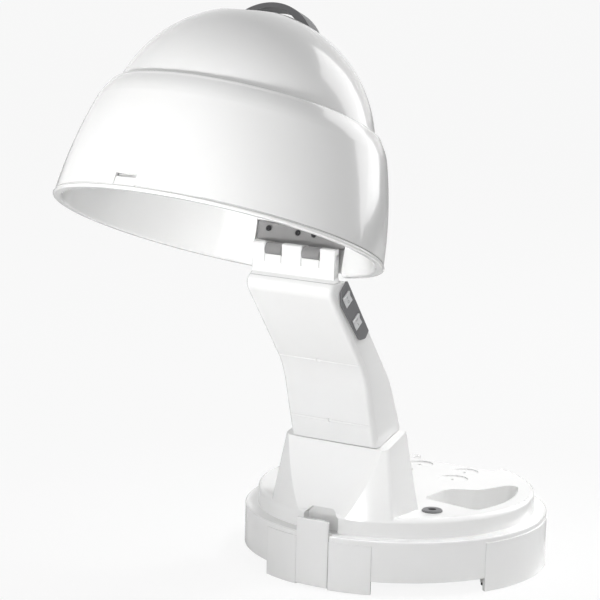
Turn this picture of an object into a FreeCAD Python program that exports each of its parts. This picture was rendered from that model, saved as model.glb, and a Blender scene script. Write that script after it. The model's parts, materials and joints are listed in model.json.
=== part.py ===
"""Folding hood hair dryer, millimetres, +Z up, front towards -Y, controls on the +X side.

The origin is the middle of the round base, on the plane it stands on. The arm is drawn as it lies
folded on the base and is then swung open about its pivot. The hood is drawn about its own rim and is
then hung from the arm's hinge.
"""
import FreeCAD, Part
import math
import os

V = FreeCAD.Vector
X, Y, Z = V(1, 0, 0), V(0, 1, 0), V(0, 0, 1)

# ---- driving dimensions --------------------------------------------------------------------------
# base
base_r = 134.0            # outer radius of the base's lower ring
ledge_w = 11.4            # width of the ledge on which the closed hood's rim stands
ledge_z = 47.3            # height of that ledge
tier_top = 64.5           # top of the upper tier, which the closed hood slips over
base_wall = 2.6
foot_clear = 0.6          # the four foot panels hang this far above the table
arch_z = 12.0             # crown of the low arches between the foot panels
foot_half_deg = 23.2      # half the angle of a foot panel
foot_proud = 0.8          # how far a foot panel stands out of the ring
plate_z = 12.6            # underside of the bottom plate
plate_t = 2.4
pad_t = 2.5               # rubber pads
pad_hub_r = 30.0          # middle foot of the bottom plate
foot_w = 11.0             # radial width of the four outer feet
ballast_t = 8.0
ballast_in = 22.0         # edge of the ballast from the base's outside
ballast_front = 8.0       # the ballast lies behind this line
well_in = 14.6            # outer edge of a well from the tier's edge
well_floor = 36.5
bed_r = 13.4              # shallow round beds for clips in the tier's top
gland_r = 7.4             # body of the cord gland
gland_len = 13.6
gland_at_x, gland_at_y = 74.0, -61.0
screw_boss_r = 4.6

# tower
tower_top = 121.0         # height of the front wall's top edge
tower_back = 20.6         # top edge of the front wall behind the tier's edge
tower_lean = 17.0         # slope of the front wall from upright, degrees
cheek_t = 9.3             # thickness of a cheek at the height of the top edge
tower_flare = 10.0        # how much wider each side is at the foot
tower_cone_draft = 9.2    # draft of the tower's outer corners, which carry on the tier's edge
tower_corner = 4.0        # rounding between those corners and the sides
tower_len = 33.0          # top of a cheek, front to back
tower_rise = 11.0         # how much higher a cheek is at the back
tower_foot_len = 38.0     # foot of a cheek behind the front wall's top edge
tower_wall = 3.0

# latch in front
latch_half = 16.0
latch_proud = 1.2
latch_rise = 12.6         # top of the latch above the ledge
latch_pivot_z = 40.0
latch_pivot_in = 7.0      # latch pin behind the base's outside
latch_pin_r = 2.0
nose_half = 9.0
nose_z = 58.6             # middle height of the latch nose
nose_t = 1.8
pocket_gap = 1.2          # recess wider than the latch, each side
pocket_top = 67.0
pocket_depth = 9.0
pocket_cut = 6.5          # bevelled upper corners of the recess

# arm, pivot and hinge
pivot_back = 17.0         # pivot behind the top edge of the tower's front wall
pivot_z = 107.4
arm_half = 42.4
arm_wall = 2.4
arm_depth = 25.3          # thickness of the straight part
arm_rest = 0.9            # the folded arm floats this far above the tier
open_lean = 24.0          # the open arm leans forward by this, measured at the hinge, degrees
eye_r = 16.4              # solid eye about the pivot
pivot_r = 5.0
washer_r = 12.0
hinge_r = 6.5             # outer radius of the hinge knuckles
hinge_pin_r = 2.0
head_front = 5.2          # the head's flat front face, in front of the hinge
head_seam = 21.0          # the head meets the arm's shells this far below the hinge
head_chamfer = 7.0
cover_lap = 6.5           # how far the front cover wraps round the arm's edges
seam_up = 1.6             # joint of arm and tower above the tower's top edge
groove_z = (142.0, 197.0) # two decorative grooves across the open arm's face
arm_post_r = 3.6
post_h = 8.0              # screw posts of the rear shell
arm_screw_l = 16.0
arm_screw_y = (60.0, 120.0)
arm_screw_x = 26.0

# switches on the arm's side
bezel_t = 1.8
rocker_l, rocker_w = 11.5, 10.0
rocker_deg = 6.0
rocker_up = 9.4           # rockers above the folded arm's underside
rocker_far, rocker_near = 163.0, 137.0
switch_l, switch_w, switch_depth = 14.0, 12.5, 13.0

# hood
rim_in = 1.0              # hood's rim inside the base's outside
hood_tilt = 21.0          # front edge up, degrees
hinge_set = 20.0          # hinge inside the rim
hinge_up = 14.6           # hinge above the rim plane
shell_wall = 2.5
liner_wall = 2.0
lip_t = 3.2
lip_gap = 0.8             # dark line between the lip and the skirt
skirt_in = 1.0            # foot of the skirt inside the rim
shoulder_in = 23.6        # shoulder of the skirt inside the rim
shoulder_z = 99.8
dome_in = 26.1            # the dome's sphere is this much smaller than the rim
dome_top = 181.0
flange_z = 94.5           # lower edge of the dome's flange
flange_r_in = 27.4
liner_foot_in = 7.4       # inside of the liner's wall, just above the lip
liner_knee_in = 18.8      # inside of the liner's wall where it starts to bend over
liner_knee_z = 71.0
liner_bend = 30.0
liner_crown_z = 117.0
hinge_bay_top = 38.0
catch_half = 9.6
catch_top = 12.6
scoop_r = 60.0            # hand space under the carrying handle
scoop_z = 169.0
intake_rows = 7
intake_z = 112.0
intake_pitch = 5.0
intake_h = 2.4
intake_half = 34.0
handle_half = 39.0
handle_y = 10.0
handle_w = 16.0
handle_rise = 11.0
handle_t = 4.2

# hinge bracket
bracket_t = 2.0
bracket_gap = 2.6
bracket_z_screw = 32.0
bracket_draft = 0.131

# blower
duct_r = 48.0
duct_wall = 2.0
duct_top = 145.0
duct_rim = 5.0            # flange outside the duct
fan_r = 38.0
fan_z = 131.0
fan_h = 10.0
fan_blade_count = 14
motor_r = 15.5
motor_h = 18.0
shaft_r = 1.6
air_hole_r = 3.0
air_rings = ((14, 6), (26, 10), (38, 14))   # radius and number of the air holes in each ring
ribbon_w, ribbon_t = 3.0, 0.6
ribbon_first = 12.0
ribbon_pitch = 7.0
ribbon_half_count = 8

# clearances
slip = 0.3                # loose parts
run = 0.05                # running fit of a pin
press = 0.02              # held pin
side_gap = 0.6            # arm to tower cheek
far = 400.0               # reach of a cutting block, longer than anything it cuts

# ---- places that follow --------------------------------------------------------------------------
tier_r = base_r - ledge_w
rim_r = base_r - rim_in
skirt_foot_r = rim_r - skirt_in
shoulder_r = rim_r - shoulder_in
dome_r = rim_r - dome_in
dome_mid_z = dome_top - dome_r
flange_r = rim_r - flange_r_in
liner_foot_r = rim_r - liner_foot_in
liner_knee_r = rim_r - liner_knee_in
hinge_in = rim_r - hinge_set
tower_front = tier_r - tower_back
pivot_y = pivot_back - tower_front
well_r = tier_r - well_in
ballast_r = base_r - ballast_in
foot_pad_r = base_r - 8.0
gland_at = V(gland_at_x, gland_at_y, 0)
ballast_screw_at = [V(x, y, 0) for x, y in ((-40, 30), (40, 30), (0, 100))]
head_half = arm_half - 1.9
hinge_bay_half = head_half + 3.0
bracket_bays = ((12.5 - head_half, 28.5 - head_half), (head_half - 32.0, head_half - 15.0))
bracket_screw_x = (6.5 - head_half, -8.0, 8.0, head_half - 6.5)
skirt_at_nose = skirt_foot_r - 1.0
latch_top = ledge_z + latch_rise
rocker_1 = V(0, pivot_y + rocker_far, tier_top + arm_rest + rocker_up)
rocker_2 = V(0, pivot_y + rocker_near, tier_top + arm_rest + rocker_up)
cover_screw_at = [V(x, pivot_y + y, 0) for x in (-arm_screw_x, arm_screw_x) for y in arm_screw_y]
pivot = V(0, pivot_y, pivot_z)
hinge_shut = V(0, hinge_in, ledge_z + hinge_up)
reach = (hinge_shut - pivot).Length
shut_drop = math.degrees(math.asin((pivot_z - hinge_shut.z) / reach))
fold_deg = 90.0 + open_lean + shut_drop
hinge = pivot + V(0, -math.sin(math.radians(open_lean)), math.cos(math.radians(open_lean))) * reach
shoulder_bottom = shoulder_z - shell_wall


# ---- helpers -------------------------------------------------------------------------------------
def rounded(corners, place):
    """Closed wire through 2-D corners (a, b, radius); place maps (a, b) to a point in space."""
    count = len(corners)
    edges = []
    ends = []
    for i, (a, b, r) in enumerate(corners):
        here = V(a, b, 0)
        to_last = (V(*corners[i - 1][:2], 0) - here).normalize()
        to_next = (V(*corners[(i + 1) % count][:2], 0) - here).normalize()
        if r == 0:
            ends.append((here, here))
            continue
        half = to_last.getAngle(to_next) / 2
        cut = r / math.tan(half)
        mid = (to_last + to_next).normalize() * (r / math.sin(half) - r)
        first, last = here + to_last * cut, here + to_next * cut
        ends.append((first, last))
        edges.append(Part.Arc(*[place(p.x, p.y) for p in (first, here + mid, last)]).toShape())
    for i in range(count):
        start, stop = ends[i][1], ends[(i + 1) % count][0]
        if (stop - start).Length > 1e-6:
            edges.append(Part.LineSegment(place(start.x, start.y), place(stop.x, stop.y)).toShape())
    return Part.Wire(Part.__sortEdges__(edges))


def slab(corners, x0, x1):
    """Solid between two X planes whose outline is drawn in Y and Z."""
    face = Part.Face(rounded(corners, lambda a, b: V(x0, a, b)))
    return face.extrude(X * (x1 - x0))


def post(corners, z0, z1):
    """Solid between two heights whose outline is drawn in X and Y."""
    face = Part.Face(rounded(corners, lambda a, b: V(a, b, z0)))
    return face.extrude(Z * (z1 - z0))


def square(*points):
    return [(a, b, 0) for a, b in points]


def box(x0, x1, y0, y1, z0, z1):
    return Part.makeBox(x1 - x0, y1 - y0, z1 - z0, V(x0, y0, z0))


def disc(r, z0, z1, at=V(0, 0, 0)):
    return Part.makeCylinder(r, z1 - z0, V(at.x, at.y, z0), Z)


def tube(r, inner, z0, z1, at=V(0, 0, 0)):
    return disc(r, z0, z1, at).cut(disc(inner, z0, z1, at))


def rod(r, x0, x1, y, z):
    return Part.makeCylinder(r, x1 - x0, V(x0, y, z), X)


def turned(edges):
    """Solid of revolution about Z from edges drawn in the X-Z half plane."""
    return Part.Face(Part.Wire(Part.__sortEdges__(edges))).revolve(V(0, 0, 0), Z, 360)


def chain(points):
    """Edges in the X-Z plane through (r, z) points; a point marked 'via' bends the run into an arc."""
    edges = []
    i = 0
    while i < len(points) - 1:
        if len(points[i + 1]) == 3:
            three = [V(p[0], 0, p[1]) for p in points[i:i + 3]]
            edges.append(Part.Arc(*three).toShape())
            i += 2
        else:
            a, b = points[i], points[i + 1]
            edges.append(Part.LineSegment(V(a[0], 0, a[1]), V(b[0], 0, b[1])).toShape())
            i += 1
    return edges


def polar(r, deg, z=0.0):
    """Point at a radius and an angle measured from the front (-Y) towards +X."""
    a = math.radians(deg)
    return V(r * math.sin(a), -r * math.cos(a), z)


def sector(r, inner, z0, z1, mid_deg, half_deg):
    """Piece of a ring centred on an angle measured from the front."""
    ring = Part.makeCylinder(r, z1 - z0, V(0, 0, z0), Z, 2 * half_deg)
    ring = ring.cut(disc(inner, z0, z1))
    ring.rotate(V(0, 0, 0), Z, mid_deg - 90 - half_deg)
    return ring


def fused(shapes):
    whole = shapes[0].fuse(shapes[1:]) if len(shapes) > 1 else shapes[0]
    return whole.removeSplitter()


def moved(shape, offset):
    copy = shape.copy()
    copy.translate(offset)
    return copy


def mirrored(shape):
    return shape.mirror(V(0, 0, 0), X)


def swung_open(shape):
    """Turn a piece drawn folded into its open place about the arm's pivot."""
    copy = shape.copy()
    copy.rotate(pivot, X, fold_deg)
    return copy


def hung(shape):
    """Take a piece drawn about the hood's rim to its place on the open arm."""
    copy = shape.copy()
    copy.translate(V(0, -hinge_in, -hinge_up))
    copy.rotate(V(0, 0, 0), X, -hood_tilt)
    copy.translate(hinge)
    return copy


def screw(at, out, length, r=1.5, head_r=3.0, head_t=1.8):
    """Pan-head screw whose head sits at a point and faces along out."""
    head = Part.makeCylinder(head_r, head_t, at, out)
    return head.fuse(Part.makeCylinder(r, length, at, out * -1)).removeSplitter()


def hole(at, out, length, r=1.5):
    return Part.makeCylinder(r, length, at, out * -1)


parts = {}

# ---- base ----------------------------------------------------------------------------------------
lean = math.tan(math.radians(tower_lean))
cheek_in = arm_half + side_gap
tower_half = cheek_in + cheek_t
tower_foot_z = tier_top - 4.0
latch_y = latch_pivot_in - base_r
foot_mids = (0, 90, 180, 270)
bottom_screws = [V(sx * 64, y, 0) for sx in (-1, 1) for y in (-80, 86)] + [V(0, 60, 0)]
bed_at = [(sx * x, y, r) for sx in (-1, 1) for x, y, r in ((29, 50, bed_r), (24, 80, bed_r - 1.4))]
pocket_half = latch_half + pocket_gap
notch_half = arm_half + 1.6
notch_z = ledge_z + hinge_up - hinge_r - 1.6


def front_line(z):
    """Y of the tower's sloping front wall at a height."""
    return -tower_front - (tower_top - z) * lean


def tower_cone(inset):
    """Drafted cone that carries on the tier's edge above it."""
    drop = 2 * tower_top * math.tan(math.radians(tower_cone_draft))
    return Part.makeCone(tier_r - inset, tier_r - inset - drop, 2 * tower_top, V(0, 0, tower_foot_z), Z)


def tower_block(inset=0.0):
    """Tower as a solid, or with inset the room inside its walls."""
    side = square((front_line(tower_foot_z) + inset, tower_foot_z), (-tower_front + inset, tower_top - inset),
                  (tower_len - tower_front - inset, tower_top + tower_rise - inset),
                  (tower_foot_len - tower_front - inset, tower_foot_z))
    high = 20.0
    foot = tower_half + tower_flare - inset
    peak = tower_half - tower_flare * high / (tower_top - tower_foot_z) - inset
    across = square((-foot, tower_foot_z), (-peak, tower_top + high),
                    (peak, tower_top + high), (foot, tower_foot_z))
    front = Part.Face(rounded(across, lambda a, b: V(a, -far, b))).extrude(Y * 2 * far)
    return slab(side, -far, far).common(front).common(tower_cone(inset))


def cheek_rooms():
    """Rooms inside the two cheeks, open to the base below."""
    middle = cheek_in + tower_wall
    return tower_block(tower_wall).cut(box(-middle, middle, -far, far, 0, far))


def arm_slot():
    """Space between the tower's cheeks, open above and behind."""
    wall = tower_wall * 1.05
    inner = slab(square((front_line(tier_top) + wall, tier_top), (wall - tower_front, tower_top),
                        (wall - tower_front, far), (20, far), (20, tier_top)), -cheek_in, cheek_in)
    return inner.common(tower_cone(tower_wall))


def latch_pocket(grow):
    """Recess with bevelled upper corners in the tower's foot, behind the latch."""
    half, top = pocket_half + grow, pocket_top + grow
    front, back = 1.5 - base_r, pocket_depth + grow - tier_r
    outline = [(-half, ledge_z - grow, 0), (half, ledge_z - grow, 0), (half, top - pocket_cut, 1.5),
               (half - pocket_cut, top, 1.5), (pocket_cut - half, top, 1.5), (-half, top - pocket_cut, 1.5)]
    return Part.Face(rounded(outline, lambda a, b: V(a, front, b))).extrude(Y * (back - front))


def well(grow, side):
    """Leaf-shaped well for clips and rollers beside the arm; grow gives the outside of its walls."""
    near = arm_half + 1.5
    outline = [(near + 1.0, -27.0, 7.0), (near, 14.0, 14.0), (near + 25.0, 27.5, 14.0),
               (near + 39.6, 70.0, 0), (well_r + 30.0, 60.0, 0), (well_r + 30.0, -41.0, 0)]
    block = post(outline, well_floor, tier_top).common(disc(well_r, well_floor, tier_top))
    sharp = [e for e in block.Edges if len(e.Vertexes) == 2 and abs(e.tangentAt(e.FirstParameter).z) > 0.99
             and math.hypot(e.CenterOfMass.x, e.CenterOfMass.y) > well_r - 0.01]
    block = block.makeFillet(7.0, sharp)
    bottom = min(block.Faces, key=lambda f: f.CenterOfMass.z)
    if grow:
        bottom = bottom.makeOffset2D(grow)
    block = moved(bottom, Z * -grow).extrude(Z * (tier_top + 5 - well_floor + grow))
    return block if side > 0 else mirrored(block)


def rear_notch(grow):
    """Ramp and notch behind the base's top that take the folded hinge."""
    ramp = tier_top - notch_z
    start = hinge_in - hinge_r - 10.0
    outline = square((start - grow, tier_top + 5), (start - grow, tier_top - grow * 0),
                     (start + ramp * 0.85 - grow, notch_z - grow), (base_r + 5, notch_z - grow),
                     (base_r + 5, tier_top + 5))
    return slab(outline, -notch_half - grow, notch_half + grow)


def base_outline(inset):
    """Section of the base: ring, ledge and tier, closed on the axis."""
    ring, tier = base_r - inset, tier_r - inset
    top, ledge = tier_top - inset, ledge_z - inset
    soft = 4.0 - inset if inset < 3 else 1.0
    low = foot_clear - (10 if inset else 0)
    return chain([(0, low), (ring, low), (ring, ledge - 1.2), (ring - 0.35, ledge - 0.35, 'via'),
                  (ring - 1.2, ledge), (tier, ledge), (tier, top - soft),
                  (tier - soft * 0.293, top - soft * 0.293, 'via'), (tier - soft, top), (0, top), (0, low)])


def base_hollow():
    """Room inside the base's walls, without the pockets, wells and bosses that stand in it."""
    hollow = turned(base_outline(base_wall))
    keep = [latch_pocket(base_wall), rear_notch(base_wall), well(base_wall, 1), well(base_wall, -1)]
    keep += [disc(screw_boss_r, plate_z + plate_t + slip, tier_top, p) for p in bottom_screws]
    keep += [disc(gland_r + base_wall, tier_top - 12, tier_top, gland_at)]
    for solid in keep:
        hollow = hollow.cut(solid)
    return hollow


def latch_ears():
    """Two ears inside the base that hold the ends of the latch pin."""
    ears = []
    y0, y1 = 1 - base_r, 12 - base_r
    for side in (-1, 1):
        x0 = side * (latch_half + 2.6) - 2
        ear = slab([(y0, latch_pivot_z - 5, 0), (y1, latch_pivot_z - 5, 3), (y1, ledge_z - 1, 0),
                    (y0, ledge_z - 1, 0)], x0, x0 + 4)
        ears.append(ear.cut(rod(latch_pin_r + run, -far, far, latch_y, latch_pivot_z)))
    return ears


def base_cover():
    body = turned(base_outline(0))
    for mid in foot_mids:
        panel = sector(base_r + foot_proud, base_r - 1, foot_clear, ledge_z - 4.5, mid, foot_half_deg)
        body = body.fuse(panel)
    tower = tower_block()
    corner = [e for e in tower.Edges if abs(e.tangentAt(e.FirstParameter).z) > 0.9
              and e.CenterOfMass.y < pivot_y and abs(e.CenterOfMass.x) > tower_half]
    body = body.fuse(tower.makeFillet(tower_corner, corner))
    body = body.cut(base_hollow()).cut(cheek_rooms())
    cuts = [latch_pocket(0), rear_notch(0), well(0, 1), well(0, -1), arm_slot().cut(latch_pocket(base_wall))]
    cuts += [disc(gland_r + run, 0, tier_top + 1, gland_at)]
    cuts += [disc(1.5, 0, tier_top - 12, p) for p in bottom_screws]
    cuts += [disc(r, tier_top - 0.9, tier_top + 1, V(x, y, 0)) for x, y, r in bed_at]
    cuts += [rod(pivot_r + press, -cheek_in - 2.2, cheek_in + 2.2, pivot_y, pivot_z)]
    cuts += [sector(base_r + 5, base_r - 12, -5, arch_z, mid + 45, 45 - foot_half_deg) for mid in foot_mids]
    cuts += [box(-latch_half - 0.5, latch_half + 0.5, -base_r - 5, -base_r + 8, -5, ledge_z + 0.1)]
    for cut in cuts:
        body = body.cut(cut)
    pips = [disc(1.4, tier_top - 1.5, tier_top - 0.3, V(x, y, 0)) for x, y, r in bed_at]
    return fused([body] + pips + latch_ears())


def boss_arc(r, inner, z0, z1, mid):
    return sector(r, inner, z0, z1, mid, foot_half_deg - 5)


def bottom_plate():
    inside = base_r - base_wall - slip
    body = disc(inside, plate_z, plate_z + plate_t)
    body = body.fuse(disc(pad_hub_r, pad_t, plate_z + plate_t))
    body = body.cut(disc(pad_hub_r - plate_t, pad_t + plate_t, plate_z + plate_t + 1))
    inner = foot_pad_r - foot_w
    for mid in foot_mids:
        body = body.fuse(boss_arc(foot_pad_r, inner, pad_t, plate_z + plate_t, mid))
        body = body.cut(boss_arc(foot_pad_r - plate_t, inner + plate_t, pad_t + plate_t, far, mid))
    body = body.cut(box(-latch_half - 2, latch_half + 2, -base_r, -foot_pad_r, 0, far))
    for p in bottom_screws:
        body = body.cut(disc(1.5 + slip, 0, far, p))
    return body.removeSplitter()


def rubber_pads():
    pads = [disc(pad_hub_r - 2, 0, pad_t)]
    pads += [boss_arc(foot_pad_r - 1, foot_pad_r - foot_w + 1, 0, pad_t, mid) for mid in foot_mids]
    return Part.makeCompound(pads)


def ballast_plate():
    z0 = plate_z + plate_t
    half = disc(ballast_r, z0, z0 + ballast_t).common(box(-far, far, ballast_front, far, 0, far))
    for p in bottom_screws:
        half = half.cut(disc(screw_boss_r + 1.0, 0, far, p))
    for p in ballast_screw_at:
        half = half.cut(disc(1.5, 0, far, p))
    return half


def latch():
    """Front latch: curved push plate, nose, two lugs about the pin."""
    outer, inner = base_r + latch_proud, base_r - base_wall
    plate = sector(outer, inner, foot_clear + 1.4, ledge_z - 0.7, 0, 20)
    plate = plate.fuse(sector(outer, rim_r + 0.5, ledge_z - 0.7, latch_top, 0, 20)).removeSplitter()
    plate = plate.common(box(-latch_half, latch_half, -far, 0, -5, far))
    rim = [e for e in plate.Edges if abs(e.CenterOfMass.z - latch_top) < 0.01
           and e.CenterOfMass.y < -(outer + rim_r) / 2]
    plate = plate.makeFillet(0.9, rim)
    nose = sector(rim_r + 0.9, skirt_at_nose - 1.6, nose_z - nose_t / 2, nose_z + nose_t / 2, 0, 10)
    body = plate.fuse(nose.common(box(-nose_half, nose_half, -far, 0, 0, far)))
    front, back = 4 - base_r, latch_y + 4
    low, high = latch_pivot_z - 4.5, latch_pivot_z + 4.0
    for side in (-1, 1):
        x0 = side * nose_half - 1.6
        lug = slab([(-inner - 1, low - 1.5, 0), (front, low, 0), (back, low, 3.5), (back, high, 3.5),
                    (front, high, 0), (-inner - 1, high + 1, 0)], x0, x0 + 3.2)
        body = body.fuse(lug)
    return body.cut(rod(latch_pin_r + run, -far, far, latch_y, latch_pivot_z)).removeSplitter()


def latch_spring():
    """Torsion spring about the latch pin: a close coil between the lugs and two straight legs."""
    y, z = latch_y, latch_pivot_z
    coil = rod(3.4, -6.4, 6.4, y, z).cut(rod(latch_pin_r + slip, -7, 7, y, z))
    leg = Part.makeCylinder(0.6, 12, V(-5.6, y + 2.8, z), V(0, 0.12, -1))
    other = Part.makeCylinder(0.6, 12, V(5.6, y - 2.8, z), V(0, 0, -1))
    return coil.fuse([leg, other]).removeSplitter()


def cord_gland():
    body = disc(9.0, tier_top, tier_top + 1.6, gland_at)
    body = body.makeChamfer(0.8, [e for e in body.Edges if abs(e.CenterOfMass.z - tier_top - 1.6) < 0.01])
    body = body.fuse(disc(gland_r, tier_top - gland_len + 1.6, tier_top, gland_at))
    return body.cut(disc(3.5, 0, far, gland_at)).removeSplitter()


# ---- arm -----------------------------------------------------------------------------------------
arm_back = tier_top + arm_rest
arm_front = arm_back + arm_depth
nose_y = hinge_in - 11.5


def arm_outline(inset):
    """Side outline of the folded arm; inset gives the inside of its walls."""
    y0, z0 = pivot_y, pivot_z
    corners = [(y0 + 56, arm_back, 90), (y0 + 9, arm_back + 11.4, 8), (y0 + 3.5, z0 - 14.0, 0),
               (y0 + 4.0, z0 + 15.6, 0), (y0 + 86, arm_front, 70), (nose_y, arm_front, 9.4),
               (nose_y - 0.4, arm_back + 9, 0), (nose_y - 7.4, arm_back, 0)]
    wire = rounded(corners, lambda a, b: V(0, a, b))
    if inset:
        wire = Part.Face(wire).makeOffset2D(-inset).OuterWire
    return wire


def arm_body(inset):
    face = Part.Face(arm_outline(inset))
    half = arm_half - inset
    body = moved(face, X * -half).extrude(X * 2 * half)
    if not inset:
        edges = [e for e in body.Edges if abs(abs(e.CenterOfMass.x) - half) < 0.01
                 and e.CenterOfMass.z > arm_front - 2 and e.CenterOfMass.y > pivot_y + 10]
        body = body.makeFillet(3.5, edges)
    return body


def above_cover_line(drop):
    """Everything in front of the joint between the arm's front cover and rear shell."""
    d = cover_lap - drop
    y0 = pivot_y
    slope = (arm_front - pivot_z - 15.6) / 82.0
    line = [(y0 - 60, pivot_z + 15.6 - slope * 64.0 - d, 0), (y0 + 86, arm_front - d, 60),
            (nose_y - cover_lap, arm_front - d, 3), (nose_y - cover_lap, 0, 0),
            (nose_y + 60, 0, 0), (nose_y + 60, far, 0), (y0 - 60, far, 0)]
    return slab(line, -far, far)


def below_seam(gap):
    """Everything of the open arm under the joint with its head."""
    return box(-far, far, -far, far, 0, hinge.z - head_seam - gap)


def clear_of_tower(shape):
    """Shoulder that lets the open arm pass inside the tower's front wall."""
    y_wall = tower_wall * 1.05 - tower_front
    seam = tower_top + seam_up
    corner = slab(square((-far, 0), (-far, seam), (y_wall + 0.7, seam), (y_wall + 0.7, pivot_z + 9),
                         (pivot_y - 8, pivot_z - 16), (pivot_y - 8, 0)), -far, far)
    return shape.cut(corner)


def arm_rear_shell():
    shell = arm_body(0).cut(arm_body(arm_wall))
    shell = shell.cut(above_cover_line(0))
    eye = rod(eye_r, -arm_half, arm_half, pivot_y, pivot_z)
    shell = shell.fuse(eye)
    for p in cover_screw_at:
        shell = shell.fuse(Part.makeCylinder(arm_post_r, post_h, V(p.x, p.y, arm_back), Z))
        shell = shell.cut(hole(V(p.x, p.y, arm_back - 1), Z * -1, post_h + 2, 1.5 + slip))
        shell = shell.cut(Part.makeCylinder(3.0 + slip, 2.1, V(p.x, p.y, arm_back - 0.1), Z))
    shell = shell.cut(rod(pivot_r + run, -far, far, pivot_y, pivot_z))
    for side in (-1, 1):
        x0, x1 = sorted((side * (arm_half - 1.0), side * far))
        shell = shell.cut(rod(washer_r + run, x0, x1, pivot_y, pivot_z))
    for p in (rocker_1, rocker_2):
        shell = shell.cut(about(p, arm_half - 5, arm_half + 1, switch_l, switch_w, slip))
    opened = clear_of_tower(swung_open(shell)).common(below_seam(slip))
    return opened.removeSplitter()


def about(p, x0, x1, long, wide, gap=0.0):
    """Block between two X planes, centred on a switch and larger by a gap all round."""
    y, z = long / 2 + gap, wide / 2 + gap
    return box(x0, x1, p.y - y, p.y + y, p.z - z, p.z + z)


def arm_front_cover():
    cover = arm_body(0).cut(arm_body(arm_wall)).common(above_cover_line(slip / 2))
    for p in cover_screw_at:
        z0 = arm_back + post_h + slip
        stem = Part.makeCylinder(arm_post_r, 2 * arm_depth, V(p.x, p.y, z0), Z)
        cover = cover.fuse(stem.common(arm_body(arm_wall / 2)))
        cover = cover.cut(hole(V(p.x, p.y, z0 - 1), Z * -1, arm_screw_l - post_h + 2))
    cover = cover.cut(rod(eye_r + slip, -far, far, pivot_y, pivot_z))
    opened = clear_of_tower(swung_open(cover)).common(below_seam(slip))
    for z in groove_z:
        y = arm_face_y(z)
        groove = Part.makeCylinder(0.8, 2 * arm_half + 2, V(-arm_half - 1, y - 0.35, z), X)
        opened = opened.cut(groove)
        opened = opened.cut(box(-1.8, 1.8, y - 5, y + 1.3, z - 1.6, z + 1.6))
    return opened.removeSplitter()


def arm_face_y(z):
    """Y of the open arm's front face at a height, found on the outline."""
    whole = swung_open(arm_body(0))
    line = Part.LineSegment(V(0, -far, z), V(0, far, z)).toShape()
    return min(v.Point.y for v in whole.common(line).Vertexes)


def arm_head():
    """Hinge block at the arm's top: five bays of knuckles, the outer and middle ones its own."""
    z0, y0 = hinge.z, hinge.y
    foot = z0 - head_seam
    side = [(y0 - head_front, foot, 0), (y0 - head_front, z0 + hinge_r - 0.8, 2.2), (y0, z0 + hinge_r, 3),
            (y0 + hinge_r, z0 + hinge_r - 1, 4), (y0 + hinge_r, foot, 0)]
    body = slab(side, -head_half, head_half)
    nose = swung_open(arm_body(0)).common(box(-arm_half, arm_half, y0 - 40, y0 + hinge_r, foot, z0))
    body = body.fuse(nose)
    spigot = box(-arm_half + 8, arm_half - 8, y0 - 1.5, y0 + 2.5, foot - 10, foot + 1)
    body = body.fuse(spigot)
    for x0, x1 in bracket_bays:
        bay = [rod(hinge_r - slip, x0 - slip, x1 + slip, y0, z0),
               box(x0 - slip, x1 + slip, y0 - 40, y0 + 1, z0, z0 + 40),
               box(x0 - slip, x1 + slip, y0, y0 + 40, z0 - 11.5, z0 + 40)]
        bay += [box(x - 0.5, x + 0.5, y0 - head_front - 1, y0 - head_front + 0.7, z0 - 10, z0 + 20)
                for x in (x0 - slip, x1 + slip)]
        body = body.cut(fused(bay))
    back = y0 + hinge_r
    for side in (-1, 1):
        wedge = [(side * (arm_half - head_chamfer - 1), back + 1, 0), (side * 60, back + 1, 0),
                 (side * 60, back - 60 + arm_half - head_chamfer, 0)]
        body = body.cut(post(wedge, foot - 20, z0 + 40))
    body = body.cut(rod(hinge_pin_r + run, -far, far, y0, z0))
    for side in (-1, 1):
        body = body.cut(hole(V(side * 24, y0 + hinge_r + 0.01, foot + 5), Y, 8, 1.5))
        body = body.cut(hole(V(side * 24, y0 + hinge_r + 1, foot + 5), Y, 3, 3.3))
    return body.removeSplitter()


def switch_bezel():
    back, front = arm_back + 0.7, arm_back + 18.8
    outline = [(pivot_y + 118, back, 1), (pivot_y + 116, back + 7.5, 3), (pivot_y + 121, front - 3.4, 5),
               (pivot_y + 164, front, 4), (pivot_y + 174, front - 5, 4), (pivot_y + 176, back, 1)]
    body = slab(outline, arm_half, arm_half + bezel_t)
    top = [e for e in body.Edges if abs(e.CenterOfMass.x - arm_half - bezel_t) < 0.01]
    body = body.makeFillet(0.5, top)
    for p in (rocker_1, rocker_2):
        body = body.cut(about(p, arm_half - 1, arm_half + 9, rocker_l, rocker_w, slip))
    return swung_open(body)


def switch_body(p):
    x1 = arm_half - slip
    body = about(p, x1 - switch_depth, x1, switch_l, switch_w)
    body = body.cut(about(p, x1 - 4.0, x1 + 1, rocker_l, rocker_w, slip))
    for dy in (-4, 0, 4):
        body = body.fuse(box(x1 - switch_depth - 5, x1 - switch_depth, p.y + dy - 0.4, p.y + dy + 0.4,
                             p.z - 2.2, p.z + 2.2))
    return swung_open(body.removeSplitter())


def rocker(p):
    """Rocker button pressed at the end nearer the pivot; its two faces meet in a shallow vee."""
    axis_x = arm_half - 0.6
    half, w = rocker_l / 2 - 0.2, rocker_w / 2
    faces = [(-half, 3.1, 0.4), (0, 2.1, 0), (half, 3.1, 0.4), (half - 0.5, -1.6, 0.6),
             (0.5 - half, -1.6, 0.6)]
    wire = rounded(faces, lambda a, b: V(axis_x + b, p.y + a, p.z - w))
    body = Part.Face(wire).extrude(Z * 2 * w)
    body.rotate(V(axis_x, p.y, p.z), Z, -rocker_deg)
    return swung_open(body)


# ---- hood ----------------------------------------------------------------------------------------
def ball_r(radius, z):
    """Radius at a height of a sphere about the dome's middle."""
    return math.sqrt(radius ** 2 - (z - dome_mid_z) ** 2)


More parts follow.
